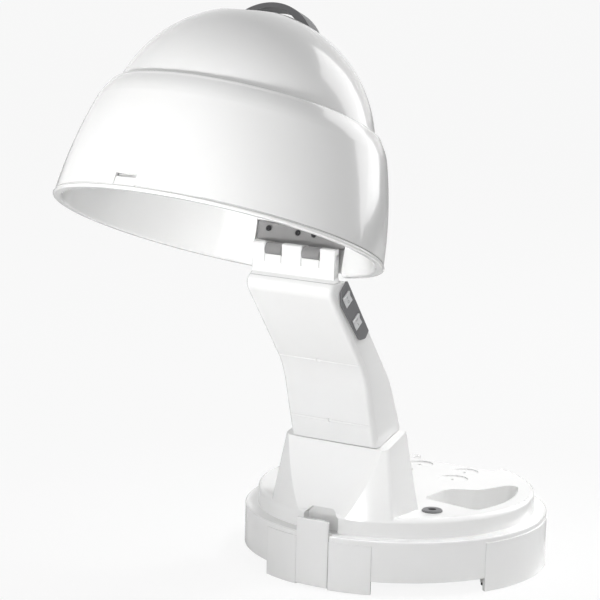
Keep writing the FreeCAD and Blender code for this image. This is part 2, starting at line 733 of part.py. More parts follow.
def ball_arc(radius, z):
    """Arc of that sphere from a height up to the axis, as points for a chain."""
    low = math.asin((z - dome_mid_z) / radius)
    mid = (low + math.pi / 2) / 2
    return [(ball_r(radius, z), z), (radius * math.cos(mid), dome_mid_z + radius * math.sin(mid), 'via'),
            (0, dome_mid_z + radius)]


def hood_skirt():
    t = shell_wall
    foot = lip_t + lip_gap
    r, s = skirt_foot_r, shoulder_r
    opening = ball_r(dome_r, shoulder_bottom) + slip
    outer = [(r, foot), (r - 5.4, 45.0, 'via'), (s + 8.2, 82.0), (s + 4.6, 90.5, 'via'),
             (s + 0.6, shoulder_z - 3.2), (s - 1.0, shoulder_z - 0.9, 'via'), (s - 3.4, shoulder_z)]
    inner = [(opening, shoulder_z), (opening, shoulder_bottom), (s - 3.6, shoulder_bottom),
             (s + 1.2, 91.5, 'via'), (s + 5.8, 81.0), (r - 7.9, 45.0, 'via'), (r - t, foot),
             (r - t, lip_t), (r - 1.2, lip_t), (r - 1.2, foot), (r, foot)]
    body = turned(chain(outer + inner))
    notch = catch_half + slip
    body = body.cut(box(-notch, notch, -far, 0, 0, catch_top))
    body = body.cut(box(-hinge_bay_half, hinge_bay_half, 0, far, 0, foot))
    z = bracket_z_screw
    for x in bracket_screw_x:
        start = math.sqrt(bracket_r(z - 3.2) ** 2 - (abs(x) - 3.2) ** 2) + 0.05
        boss = Part.makeCylinder(3.2, 12, V(x, start, z), Y).common(disc(r - t - 2.8, z - 9, z + 9))
        body = body.fuse(boss).cut(hole(V(x, start - 1, z), Y * -1, 5.5, 1.4))
    return body.removeSplitter()


def hood_dome():
    t = shell_wall
    z1 = shoulder_bottom
    outer, inner = ball_arc(dome_r, z1), ball_arc(dome_r - t, flange_z)
    flange = [outer[0], (flange_r, z1), (flange_r + 1.2, flange_z), inner[0]]
    body = turned(chain(outer) + chain(inner) + chain(flange) + chain([inner[-1], outer[-1]]))
    scoop = Part.makeCylinder(scoop_r, far, V(0, -far / 2, scoop_z + scoop_r), Y)
    lining = Part.makeCylinder(scoop_r + t, far, V(0, -far / 2, scoop_z + scoop_r), Y)
    full = turned(chain(outer) + chain([outer[-1], (0, flange_z), (outer[0][0], flange_z), outer[0]]))
    body = body.fuse(full.common(lining)).cut(scoop)
    for i in range(intake_rows):
        z = intake_z + i * intake_pitch
        half = intake_half - 3.0 * abs(i - (intake_rows - 1) / 2)
        body = body.cut(box(-half, half, 0, far, z, z + intake_h))
    return body.removeSplitter()


def liner_profile(grow):
    """Liner's section above its wall, as points: the bend and the crown, whose arcs are tangent.

    With grow 0 it is the inside; grow moves it outwards.
    """
    run_in, run_up = liner_foot_r - liner_knee_r, liner_knee_z - 2.2
    wall = math.atan2(run_in, run_up)
    bend = V(liner_knee_r - liner_bend * math.cos(wall), liner_knee_z - liner_bend * math.sin(wall), 0)
    top = liner_crown_z - liner_bend
    crown_mid = (top ** 2 - bend.x ** 2 - bend.y ** 2) / (2 * (top - bend.y))
    lean_in = math.atan2(bend.x, bend.y - crown_mid)
    k, big = liner_bend + grow, liner_crown_z - crown_mid + grow

    def on_bend(angle):
        return (bend.x + k * math.cos(angle), bend.y + k * math.sin(angle))

    join = math.pi / 2 - lean_in
    half = lean_in / 2
    return [on_bend(wall), on_bend((wall + join) / 2) + ('via',), on_bend(join),
            (big * math.sin(half), crown_mid + big * math.cos(half), 'via'), (0, crown_mid + big)]


def liner_crown_at(r, grow):
    """Height of the liner's crown at a radius."""
    top = liner_profile(grow)[-1][1]
    half_r, half_z = liner_profile(grow)[-2][:2]
    big = (half_r ** 2 + (top - half_z) ** 2) / (2 * (top - half_z))
    return top - big + math.sqrt(big ** 2 - r ** 2)


duct_z = liner_crown_at(duct_r - duct_wall, liner_wall) + 0.1


def hood_liner():
    g = liner_wall
    inside, outside = liner_profile(0), liner_profile(g)
    lip = [inside[0], (liner_foot_r, 2.2), (liner_foot_r + 0.7, 0.6, 'via'), (liner_foot_r + 2.2, 0),
           (rim_r - 1.4, 0), (rim_r, lip_t / 2, 'via'), (rim_r - 1.4, lip_t), (liner_foot_r + g + 0.6, lip_t),
           outside[0]]
    body = turned(chain(lip) + chain(inside) + chain(outside) + chain([inside[-1], outside[-1]]))
    z0, z1 = liner_crown_z - 40, liner_crown_z + 20
    for r, count in air_rings:
        for i in range(count):
            body = body.cut(disc(air_hole_r, z0, z1, polar(r, 360.0 * i / count)))
    body = body.cut(disc(air_hole_r + 2.0, z0, z1))
    body = body.cut(box(-hinge_bay_half - 1, hinge_bay_half + 1, 60, far, -5, hinge_bay_top))
    low = 0.4
    catch = box(-catch_half, catch_half, -far, 60 - liner_foot_r, low, catch_top - 2.6)
    skin = turned(chain([(skirt_foot_r - 0.2, low), (skirt_foot_r - 2.4, 14), (liner_foot_r - 1.5, 14),
                         (liner_foot_r + 0.5, low), (skirt_foot_r - 0.2, low)]))
    return body.fuse(catch.common(skin)).removeSplitter()


def carry_handle():
    """Strap bent over the scoop; its two feet stand on the dome."""
    top, half = dome_top + handle_rise, handle_half
    y0, y1 = handle_y - handle_w / 2, handle_y + handle_w / 2
    seat = dome_mid_z + ball_r(dome_r, dome_mid_z + math.hypot(half, y1))
    foot = 9.0
    outer = [(-half, seat + 1.0), (0, top, 'via'), (half, seat + 1.0), (half - 0.5, seat - 1)]
    inner = [(half - foot, seat - 1), (0, top - handle_t, 'via'), (foot - half, seat - 1),
             (0.5 - half, seat - 1)]
    strap = Part.Face(Part.Wire(Part.__sortEdges__(chain(outer + inner + outer[:1]))))
    strap = moved(strap, Y * y0).extrude(Y * handle_w)
    spans = [sorted((s * (half - 1), s * (half - foot - 2))) for s in (-1, 1)]
    legs = [box(x0, x1, y0, y1, seat - 12, seat + 0.5) for x0, x1 in spans]
    ball = Part.makeSphere(dome_r + press, V(0, 0, dome_mid_z))
    return max(fused([strap] + legs).cut(ball).Solids, key=lambda s: s.Volume)


def hinge_bracket():
    """Dark bracket inside the hood's rear wall, with two knuckles about the hinge pin."""
    back = turned(chain([(bracket_r(lip_t + 1), lip_t + 1), (bracket_r(hinge_bay_top - 1), hinge_bay_top - 1),
                         (bracket_r(hinge_bay_top - 1) - bracket_t, hinge_bay_top - 1),
                         (bracket_r(lip_t + 1) - bracket_t, lip_t + 1), (bracket_r(lip_t + 1), lip_t + 1)]))
    half, step = hinge_bay_half - 0.4, hinge_up + hinge_r + 1.2
    upper = back.common(box(-half, half, 0, far, step, far))
    lower = back.common(box(bracket_bays[0][0], bracket_bays[-1][1], 0, far, hinge_up - 7.0, far))
    lower = lower.cut(box(bracket_bays[0][1] + 0.1, bracket_bays[1][0] - 0.1, 0, far, 0, step))
    body = upper.fuse(lower)
    for x0, x1 in bracket_bays:
        knuckle = rod(hinge_r - 0.6, x0, x1, hinge_in, hinge_up)
        stem = box(x0, x1, hinge_in, hinge_in + 30, hinge_up - 3, hinge_up + 2)
        stem = stem.common(disc(bracket_r(hinge_up) - 0.5, 0, far))
        body = body.fuse([knuckle, stem])
    body = body.cut(rod(hinge_pin_r + press, -far, far, hinge_in, hinge_up))
    for x in bracket_screw_x:
        body = body.cut(hole(V(x, far, bracket_z_screw), Y, far, 1.4 + slip))
    return body.removeSplitter()


def bracket_r(z):
    """Radius of the back of the bracket at a height."""
    return skirt_foot_r - shell_wall - (z - lip_t - lip_gap) * bracket_draft - bracket_gap


# ---- blower --------------------------------------------------------------------------------------
duct_screw_at = [polar(duct_r + duct_rim / 2, 60 + 120 * i) for i in range(3)]


def air_duct():
    body = tube(duct_r, duct_r - duct_wall, duct_z, duct_top)
    foot = tube(duct_r + duct_rim, duct_r - duct_wall, duct_top - 3, duct_top)
    body = body.fuse(foot)
    for p in duct_screw_at:
        body = body.cut(disc(1.2, duct_top - 4, duct_top + 1, p))
    return body.removeSplitter()


def motor_mount():
    z0 = duct_top
    body = tube(duct_r + duct_rim, duct_r - duct_wall, z0, z0 + 2)
    body = body.fuse(disc(motor_r + 3, z0, z0 + 2))
    for i in range(3):
        arm = box(0, duct_r, -4, 4, z0, z0 + 2)
        arm.rotate(V(0, 0, 0), Z, 90 + 120 * i)
        body = body.fuse(arm)
    for p in duct_screw_at:
        body = body.cut(disc(1.2 + slip, z0 - 1, z0 + 3, p))
    return body.cut(disc(4.2, z0 - 1, z0 + 3)).removeSplitter()


def blower_motor():
    z0 = duct_top + 2
    body = disc(motor_r, z0, z0 + motor_h - 2).fuse(disc(8, z0 + motor_h - 2, z0 + motor_h))
    body = body.fuse(disc(4.0, z0 - 2, z0))
    return body.cut(disc(shaft_r + run, z0 - 3, z0 + motor_h - 4)).removeSplitter()


def fan_wheel():
    plate = disc(fan_r, fan_z + fan_h - 1.4, fan_z + fan_h)
    body = plate.fuse(disc(7, fan_z, fan_z + fan_h))
    blades = []
    for i in range(fan_blade_count):
        blade = box(12, fan_r, -0.6, 0.6, fan_z, fan_z + fan_h - 1)
        blade.rotate(V(12, 0, 0), Z, 25)
        blade = blade.common(disc(fan_r, fan_z, fan_z + fan_h))
        blade.rotate(V(0, 0, 0), Z, 360.0 * i / fan_blade_count)
        blades.append(blade)
    body = body.fuse(blades)
    return body.cut(disc(shaft_r, fan_z - 1, fan_z + fan_h + 1)).removeSplitter()


def heater_frame():
    """Two crossed insulating boards standing in the duct, slotted for the heater."""
    z0, z1 = liner_crown_z + liner_wall + 0.4, fan_z - 1.5
    reach_in = duct_r - duct_wall - 0.2
    boards = box(-reach_in, reach_in, -0.5, 0.5, z0, z1).fuse(box(-0.5, 0.5, -reach_in, reach_in, z0, z1))
    return boards.cut(heater_ribbon(slip)).removeSplitter()


def heater_ribbon(grow=0.0):
    """Upright ribbon wound as a flat spiral, from half rings that widen turn by turn."""
    z = (liner_crown_z + liner_wall + fan_z) / 2
    w, t = ribbon_w / 2 + grow, ribbon_t / 2 + grow
    step = ribbon_pitch / 2
    halves = []
    for i in range(ribbon_half_count):
        side = 1 if i % 2 == 0 else -1
        mid = V(-side * step / 2, 0, 0)
        r = ribbon_first + i * step + step / 2
        ring = tube(r + t, r - t, z - w, z + w, mid)
        halves.append(ring.common(box(-far, far, *sorted((0, side * far)), 0, far)))
    return fused(halves)


def thermal_cutout():
    """Round cut-out on a tab that reaches the duct's wall, between the heater boards."""
    z0 = (liner_crown_z + liner_wall + fan_z) / 2 + ribbon_w / 2 + 0.7
    wall = duct_r - duct_wall - 0.1
    tab = box(wall - 10, duct_r, -4, 4, z0, z0 + 1.2).common(disc(wall, 0, far))
    body = Part.makeCylinder(5, 3.0, V(wall - 8, 0, z0), Z).fuse(tab).removeSplitter()
    body.rotate(V(0, 0, 0), Z, -135)
    return body


# ---- fasteners and pins --------------------------------------------------------------------------
def group(shapes):
    return Part.makeCompound([s.Solids[0] for s in shapes])


def base_pieces():
    plate_top = plate_z + plate_t
    return {
        "base_cover": base_cover(),
        "bottom_plate": bottom_plate(),
        "rubber_pads": rubber_pads(),
        "ballast_plate": ballast_plate(),
        "ballast_screws": group([screw(V(p.x, p.y, plate_top + ballast_t), Z, ballast_t - 0.2)
                                 for p in ballast_screw_at]),
        "bottom_screws": group([screw(V(p.x, p.y, plate_z), Z * -1, 18) for p in bottom_screws]),
        "cord_gland": cord_gland(),
        "pivot_pin": rod(pivot_r, -cheek_in - 2.0, cheek_in + 2.0, pivot_y, pivot_z),
        "latch_pin": rod(latch_pin_r, -latch_half - 4.4, latch_half + 4.4, latch_y, latch_pivot_z),
        "front_latch": latch(),
        "latch_spring": latch_spring(),
    }


def arm_pieces():
    washers = []
    for side in (-1, 1):
        x0, x1 = sorted((side * (arm_half - 1.0), side * (cheek_in - 0.15)))
        washer = rod(washer_r, x0, x1, pivot_y, pivot_z)
        washers.append(washer.cut(rod(pivot_r + slip, x0, x1, pivot_y, pivot_z)))
    head_screws = [screw(V(s * 24, hinge.y + hinge_r - 2, hinge.z - head_seam + 5), Y, 5) for s in (-1, 1)]
    cover_screws = [swung_open(screw(V(p.x, p.y, arm_back + 2.0), Z * -1, arm_screw_l - 2.0))
                    for p in cover_screw_at]
    return {
        "arm_rear_shell": arm_rear_shell(),
        "arm_front_cover": arm_front_cover(),
        "arm_head": arm_head(),
        "arm_cover_screws": group(cover_screws),
        "head_screws": group(head_screws),
        "pivot_washers": group(washers),
        "switch_bezel": switch_bezel(),
        "power_switch": switch_body(rocker_1),
        "heat_switch": switch_body(rocker_2),
        "power_rocker": rocker(rocker_1),
        "heat_rocker": rocker(rocker_2),
        "hinge_pin": rod(hinge_pin_r, -head_half + 1, head_half - 1, hinge.y, hinge.z),
    }


def hood_pieces():
    bracket_screws = [screw(V(x, bracket_face_y(x), bracket_z_screw), Y * -1, 6.4, 1.4, 2.4, 1.4)
                      for x in bracket_screw_x]
    duct_screws = [screw(V(p.x, p.y, duct_top + 2), Z, 4.8, 1.2, 2.3, 1.2) for p in duct_screw_at]
    return {
        "hood_skirt": hood_skirt(),
        "hood_dome": hood_dome(),
        "hood_liner": hood_liner(),
        "carry_handle": carry_handle(),
        "hinge_bracket": hinge_bracket(),
        "bracket_screws": group(bracket_screws),
        "air_duct": air_duct(),
        "motor_mount": motor_mount(),
        "duct_screws": group(duct_screws),
        "blower_motor": blower_motor(),
        "motor_shaft": disc(shaft_r, fan_z - 1, duct_top + motor_h - 4),
        "fan_wheel": fan_wheel(),
        "heater_frame": heater_frame(),
        "heater_coil": heater_ribbon(),
        "thermal_cutout": thermal_cutout(),
    }


def bracket_face_y(x):
    r = bracket_r(bracket_z_screw + 2.4) - bracket_t
    return math.sqrt(r * r - (abs(x) + 2.4) ** 2) - 0.02


os.makedirs("parts", exist_ok=True)
placed = dict(base_pieces())
placed.update(arm_pieces())
placed.update({name: hung(shape) for name, shape in hood_pieces().items()})
for name, shape in placed.items():
    if not shape.isValid():
        print("not valid:", name)
    shape.exportStep("parts/" + name + ".step")
    print(name, len(shape.Solids), round(shape.Volume / 1000, 2))
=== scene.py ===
"""Folding hood hair dryer: the finishes and fine forms of its pieces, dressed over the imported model.

The file follows the dryer from the table up: base, latch, arm, switches, hinge, hood, handle and
blower, then the studio. Sizes are in metres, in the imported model's own frame.
"""
import bpy
import bmesh
import json
import math
from mathutils import Matrix, Vector


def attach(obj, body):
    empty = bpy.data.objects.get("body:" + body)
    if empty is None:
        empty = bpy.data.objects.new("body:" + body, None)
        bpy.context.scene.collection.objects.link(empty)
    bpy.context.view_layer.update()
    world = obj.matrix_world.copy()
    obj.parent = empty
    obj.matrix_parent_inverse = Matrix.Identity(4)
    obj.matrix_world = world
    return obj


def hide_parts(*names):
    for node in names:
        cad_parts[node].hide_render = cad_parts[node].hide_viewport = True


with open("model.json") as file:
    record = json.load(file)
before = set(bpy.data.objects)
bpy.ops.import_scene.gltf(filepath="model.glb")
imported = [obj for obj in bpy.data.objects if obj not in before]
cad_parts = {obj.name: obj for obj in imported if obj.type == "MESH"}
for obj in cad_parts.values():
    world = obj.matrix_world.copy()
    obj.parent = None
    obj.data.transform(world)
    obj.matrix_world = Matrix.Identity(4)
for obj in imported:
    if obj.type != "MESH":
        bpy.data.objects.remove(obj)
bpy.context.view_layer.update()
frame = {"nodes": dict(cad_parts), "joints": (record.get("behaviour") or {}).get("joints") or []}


# ---- Base cover ------------------------------------------------------------------------------------
# One big injection moulding in gloss white ABS: the lower ring with its four foot panels, the tier
# that the closed hood slips over, two leaf-shaped wells, and the tower that carries the arm.
def linear(code):
    """An sRGB hex colour as linear RGBA."""
    parts = [int(code[i:i + 2], 16) / 255 for i in (1, 3, 5)]
    return tuple(c / 12.92 if c <= 0.04045 else ((c + 0.055) / 1.055) ** 2.4 for c in parts) + (1.0,)


def add(tree, kind, links=(), **settings):
    """Adds a node; settings name its properties or input sockets, links are (from socket, to name)."""
    node = tree.nodes.new(kind)
    for key, value in settings.items():
        if hasattr(node, key):
            setattr(node, key, value)
        else:
            node.inputs[key.replace("_", " ")].default_value = value
    for source, name in links:
        tree.links.new(source, node.inputs[name])
    return node


def finish(name, colour, roughness, **sockets):
    """A material whose plain values stand on its shader; returns its tree, shader and coordinates."""
    made = bpy.data.materials.new(name)
    made.use_nodes = True
    tree = made.node_tree
    shader = tree.nodes["Principled BSDF"]
    shader.inputs["Base Color"].default_value = linear(colour)
    shader.inputs["Roughness"].default_value = roughness
    for key, value in sockets.items():
        shader.inputs[key.replace("_", " ")].default_value = value
    return made, tree, shader, add(tree, "ShaderNodeTexCoord").outputs["Object"]


def mottle(tree, shader, place, scale, first, second, low, high):
    """Colour and roughness that drift between two values; scale is in cells per metre."""
    drift = add(tree, "ShaderNodeTexNoise", [(place, "Vector")], Scale=scale, Detail=3.0)
    # a mix node's two colours are sockets 6 and 7, and its mixed colour is output 2
    tint = add(tree, "ShaderNodeMix", [(drift.outputs["Fac"], "Factor")], data_type="RGBA")
    tint.inputs[6].default_value = linear(first)
    tint.inputs[7].default_value = linear(second)
    tree.links.new(tint.outputs[2], shader.inputs["Base Color"])
    gloss = add(tree, "ShaderNodeMapRange", [(drift.outputs["Fac"], "Value")], To_Min=low, To_Max=high)
    tree.links.new(gloss.outputs["Result"], shader.inputs["Roughness"])


def grain(tree, shader, place, scale, strength, depth, edge=0.0):
    """Fine unevenness, scale cells per metre; edge is the small radius that moulded corners have."""
    height = add(tree, "ShaderNodeTexNoise", [(place, "Vector")], Scale=scale, Detail=2.0)
    bump = add(tree, "ShaderNodeBump", [(height.outputs["Fac"], "Height")],
               Strength=strength, Distance=depth)
    if edge:
        soft = add(tree, "ShaderNodeBevel", Radius=edge, samples=6)
        tree.links.new(soft.outputs["Normal"], bump.inputs["Normal"])
    tree.links.new(bump.outputs["Normal"], shader.inputs["Normal"])


def dress(material, *nodes):
    """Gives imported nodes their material."""
    for node in nodes:
        piece = frame["nodes"][node]
        piece.data.materials.clear()
        piece.data.materials.append(material)


plastic_ior = 1.53          # ABS and nylon are alike in this
# Acrylonitrile butadiene styrene from a polished tool: nearly white, a sharp gloss over a body that
# scatters light, corners rounded by the tool, and a long, faint waviness where thick walls shrank.
white, tree, shader, place = finish("Gloss white moulded ABS", "#F4F4F3", 0.14, IOR=plastic_ior,
                                    Coat_Weight=0.6, Coat_Roughness=0.04)
mottle(tree, shader, place, 14.0, "#F0F0EF", "#F8F8F8", 0.16, 0.24)
grain(tree, shader, place, 26.0, 0.04, 0.002, 0.0006)
dress(white, "base_cover")

# ---- Underside -------------------------------------------------------------------------------------
# A plain tray screwed up into the cover from below. It carries four curved feet and a round one, each
# with a glued rubber pad, and over it lies a cast plate that keeps the dryer from tipping forward.
satin, tree, shader, place = finish("Satin white moulded ABS", "#ECECEA", 0.4, IOR=plastic_ior)
mottle(tree, shader, place, 30.0, "#E6E6E4", "#F0F0EF", 0.36, 0.48)
# a spark-eroded texture of about 0.8 mm, drawn a little coarser than it is so that it shows
grain(tree, shader, place, 1200.0, 0.12, 0.0004, 0.0004)
dress(satin, "bottom_plate")

rubber, tree, shader, place = finish("Moulded black rubber", "#2A2A2A", 0.75, IOR=1.52)
mottle(tree, shader, place, 60.0, "#242424", "#353535", 0.68, 0.85)
grain(tree, shader, place, 1500.0, 0.25, 0.0003)
dress(rubber, "rubber_pads")

iron, tree, shader, place = finish("Sand-cast iron, oiled", "#4A4947", 0.6, Metallic=1.0)
mottle(tree, shader, place, 90.0, "#3B3A38", "#5A5855", 0.5, 0.75)
grain(tree, shader, place, 900.0, 0.5, 0.0005)
dress(iron, "ballast_plate")


# ---- Screws ----------------------------------------------------------------------------------------
# Pan-head self-tapping screws, zinc plated, with a cross recess. Those that show inside the hood's
# hinge are black. Each size is stamped from wire, then the thread is rolled on.
def socketed(name, inputs):
    """A Geometry Nodes tree with a geometry in and out and the named inputs."""
    tree = bpy.data.node_groups.new(name, "GeometryNodeTree")
    tree.interface.new_socket("Geometry", in_out="INPUT", socket_type="NodeSocketGeometry")
    for key, kind in inputs:
        tree.interface.new_socket(key, in_out="INPUT", socket_type="NodeSocket" + kind)
    tree.interface.new_socket("Geometry", in_out="OUTPUT", socket_type="NodeSocketGeometry")
    return tree, tree.nodes.new("NodeGroupInput"), tree.nodes.new("NodeGroupOutput")


def grown(name, seed_mesh, tree, values):
    """Runs a tree on a mesh with the named values and returns the result as a plain object."""
    seed = bpy.data.objects.new(name, seed_mesh)
    bpy.context.collection.objects.link(seed)
    growth = seed.modifiers.new("growth", "NODES")
    growth.node_group = tree
    for item in tree.interface.items_tree:
        if item.in_out == "INPUT" and item.name in values:
            growth[item.identifier] = values[item.name]
    bpy.context.view_layer.update()
    evaluated = seed.evaluated_get(bpy.context.evaluated_depsgraph_get())
    solid = bpy.data.meshes.new_from_object(evaluated)
    seed.modifiers.clear()
    seed.data = solid
    solid.name = name
    return seed


def times(tree, source, factor):
    """A value of the tree multiplied by a number."""
    product = add(tree, "ShaderNodeMath", [(source, 0)], operation="MULTIPLY")
    product.inputs[1].default_value = factor
    return product.outputs[0]


screws, start, end = socketed("cross-recess screws", [
    ("Head radius", "Float"), ("Head height", "Float"), ("Shank radius", "Float"),
    ("Shank length", "Float"), ("Recess width", "Float"), ("Material", "Material")])
r_in, h_in = start.outputs["Head radius"], start.outputs["Head height"]
crown_share = 0.8           # radius of the head's flat top, of the head's radius
rim_share = 0.62            # height of the head's straight rim, of the head's height
blade_share = 1.15          # length of the recess, of the head's radius
recess_share = 0.3          # width of the recess, of the head's radius
head_facets, shank_facets = 24, 12

# the hull of a low rim and a high crown is a pan head with a sloping shoulder
head = add(screws, "GeometryNodeMeshCylinder", [(r_in, "Radius"), (h_in, "Depth")],
           Vertices=head_facets)
crown = add(screws, "GeometryNodeMeshCylinder",
            [(times(screws, r_in, crown_share), "Radius"), (h_in, "Depth")], Vertices=head_facets)
crown_rise = add(screws, "ShaderNodeCombineXYZ", [(times(screws, h_in, 0.5), "Z")])
crown_up = add(screws, "GeometryNodeTransform", [(crown.outputs["Mesh"], "Geometry"),
                                                 (crown_rise.outputs[0], "Translation")])
rim_rise = add(screws, "ShaderNodeCombineXYZ", [(times(screws, h_in, rim_share / 2), "Z")])
rim = add(screws, "GeometryNodeTransform", [(head.outputs["Mesh"], "Geometry"),
                                            (rim_rise.outputs[0], "Translation")],
          Scale=(1, 1, rim_share))
both = add(screws, "GeometryNodeJoinGeometry")
screws.links.new(rim.outputs[0], both.inputs[0])
screws.links.new(crown_up.outputs[0], both.inputs[0])
solid_head = add(screws, "GeometryNodeConvexHull", [(both.outputs[0], 0)])

# two crossed blades, centred on the head's top, cut the recess to half their height
size = add(screws, "ShaderNodeCombineXYZ", [(times(screws, r_in, blade_share), "X"),
                                            (start.outputs["Recess width"], "Y"), (h_in, "Z")])
blade = add(screws, "GeometryNodeMeshCube", [(size.outputs[0], "Size")])
blade_rise = add(screws, "ShaderNodeCombineXYZ", [(h_in, "Z")])
recess = add(screws, "GeometryNodeMeshBoolean", [(solid_head.outputs[0], "Mesh 1")],
             operation="DIFFERENCE", solver="EXACT")
for turn in (0, 90):
    cutter = add(screws, "GeometryNodeTransform", [(blade.outputs["Mesh"], "Geometry"),
                                                   (blade_rise.outputs[0], "Translation")],
                 Rotation=(0, 0, math.radians(turn)))
    screws.links.new(cutter.outputs[0], recess.inputs["Mesh 2"])
shank = add(screws, "GeometryNodeMeshCylinder", [(start.outputs["Shank radius"], "Radius"),
                                                 (start.outputs["Shank length"], "Depth")],
            Vertices=shank_facets)
half_shank_down = times(screws, start.outputs["Shank length"], -0.5)
shank_drop = add(screws, "ShaderNodeCombineXYZ", [(half_shank_down, "Z")])
below = add(screws, "GeometryNodeTransform", [(shank.outputs["Mesh"], "Geometry"),
                                              (shank_drop.outputs[0], "Translation")])
one = add(screws, "GeometryNodeJoinGeometry")
screws.links.new(recess.outputs["Mesh"], one.inputs[0])
screws.links.new(below.outputs[0], one.inputs[0])

# one screw on each seat, turned to the way it was driven from
outward = add(screws, "GeometryNodeInputNamedAttribute", data_type="FLOAT_VECTOR")
outward.inputs["Name"].default_value = "outward"
faced = add(screws, "FunctionNodeAlignRotationToVector", [(outward.outputs["Attribute"], "Vector")],
            axis="Z")
many = add(screws, "GeometryNodeInstanceOnPoints", [(start.outputs["Geometry"], "Points"),
                                                    (one.outputs[0], "Instance"),
                                                    (faced.outputs[0], "Rotation")])
real = add(screws, "GeometryNodeRealizeInstances", [(many.outputs[0], "Geometry")])
plated = add(screws, "GeometryNodeSetMaterial", [(real.outputs[0], "Geometry"),
                                                 (start.outputs["Material"], "Material")])
screws.links.new(plated.outputs[0], end.inputs[0])

zinc, tree, shader, place = finish("Zinc-plated steel", "#B9BABD", 0.3, Metallic=1.0)
mottle(tree, shader, place, 400.0, "#A9AAAE", "#C6C7C9", 0.25, 0.42)
black_zinc, tree, shader, place = finish("Black-passivated steel", "#4E4E50", 0.4, Metallic=1.0)
mottle(tree, shader, place, 400.0, "#444446", "#5C5C5E", 0.34, 0.5)


def islands(node):
    """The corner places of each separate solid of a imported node."""
    form = bmesh.new()
    form.from_mesh(frame["nodes"][node].data)
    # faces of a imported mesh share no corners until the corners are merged
    bmesh.ops.remove_doubles(form, verts=form.verts, dist=1e-6)
    left, found = set(form.verts), []
    while left:
        shell, queue = set(), [left.pop()]
        while queue:
            vert = queue.pop()
            shell.add(vert)
            near = [edge.other_vert(vert) for edge in vert.link_edges]
            queue += [other for other in near if other in left]
            left -= set(near)
        found.append([vert.co.copy() for vert in shell])
    form.free()
    return found


def set_screws(node, body, outward, head_r, head_h, shank_r, metal):
    """Replaces a node's plain screws by ones with a recess, found by their solids and direction."""
    way = Vector(outward).normalized()
    seats, longest = [], 0.0
    for spots in islands(node):
        heights = [spot.dot(way) for spot in spots]
        mean = sum(spots, Vector()) / len(spots)
        top, low = max(heights), min(heights)
        seats.append(mean + way * (top - head_h - mean.dot(way)))
        longest = max(longest, top - head_h - low)
    mesh = bpy.data.meshes.new(node)
    mesh.from_pydata(seats, [], [])
    turn = mesh.attributes.new("outward", "FLOAT_VECTOR", "POINT")
    for i in range(len(seats)):
        turn.data[i].vector = way
    piece = grown(node + "_recessed", mesh, screws, {
        "Head radius": head_r, "Head height": head_h, "Shank radius": shank_r, "Shank length": longest,
        "Recess width": head_r * recess_share, "Material": metal})
    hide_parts(node)
    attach(piece, body)


big_size = (0.003, 0.0018, 0.0015)      # head radius, head height and shank radius
set_screws("bottom_screws", "base", (0, 0, -1), *big_size, zinc)
set_screws("ballast_screws", "base", (0, 0, 1), *big_size, zinc)

# ---- Cord gland ------------------------------------------------------------------------------------
# The bush in the base's top, right of the tower: a dark grey collar with a round bore, moulded in
# ABS and pushed in from above.
pale, tree, shader, place = finish("Light grey satin ABS", "#D9DADB", 0.38, IOR=plastic_ior)
mottle(tree, shader, place, 40.0, "#D2D3D4", "#DFE0E1", 0.34, 0.44)
grain(tree, shader, place, 60.0, 0.03, 0.001, 0.0003)
dark, tree, shader, place = finish("Dark grey satin ABS", "#6B6B6D", 0.42, IOR=plastic_ior)
mottle(tree, shader, place, 50.0, "#646466", "#747476", 0.38, 0.48)
grain(tree, shader, place, 1400.0, 0.08, 0.0003, 0.0004)
dress(dark, "cord_gland")

# ---- Latch -----------------------------------------------------------------------------------------
# A white push plate in the front of the base. It swings on a steel pin between two ears, and a
# torsion spring on the pin keeps its nose over the catch of the closed hood.
dress(white, "front_latch")
steel, tree, shader, place = finish("Bright drawn steel", "#C4C5C8", 0.24, Metallic=1.0)
# drawing marks run along the wire and are about 0.3 mm apart
mottle(tree, shader, place, 700.0, "#B6B7BA", "#CFD0D2", 0.2, 0.34)
dress(steel, "latch_pin", "pivot_pin", "hinge_pin", "motor_shaft", "latch_spring")

# ---- Arm -------------------------------------------------------------------------------------------
# Two white shells that meet in a lap joint round the edge, held by four screws from behind, and turn
# on a steel pin in the tower with a nylon washer each side.
dress(white, "arm_rear_shell", "arm_front_cover", "arm_head")
nylon, tree, shader, place = finish("Natural nylon", "#E4E1D8", 0.45,
                                    IOR=plastic_ior, Subsurface_Weight=0.1)
mottle(tree, shader, place, 80.0, "#DEDBD1", "#EAE8E0", 0.4, 0.52)
dress(nylon, "pivot_washers", "air_duct", "fan_wheel")
joints = {joint["name"]: joint for joint in frame["joints"]}
# the arm's back, which looks straight down once the arm is folded
fold = math.radians(joints["arm_fold"]["range_deg"][1])
arm_back = Vector((0, math.sin(fold), -math.cos(fold)))
set_screws("arm_cover_screws", "arm", arm_back, *big_size, zinc)
set_screws("head_screws", "arm", (0, 1, 0), *big_size, zinc)

# ---- Switches --------------------------------------------------------------------------------------
# A dark bezel on the arm's right side with two light rocker buttons over black switch bodies. The
# buttons carry a line and a ring, pad printed in grey.
dress(dark, "switch_bezel")
dress(pale, "power_rocker", "heat_rocker")
ink, tree, shader, place = finish("Grey pad-printing ink", "#8A8B8D", 0.5, IOR=1.5)
mottle(tree, shader, place, 2500.0, "#828385", "#939496", 0.45, 0.6)
mark_r, ring_bore_r = 0.00125, 0.0008   # half a mark's size, and the ring's inner radius
line_share = 0.22                       # width of the line, of its length
ink_lift, ink_t = 0.00003, 0.00004      # the ink is drawn thick enough to stay clear of the face


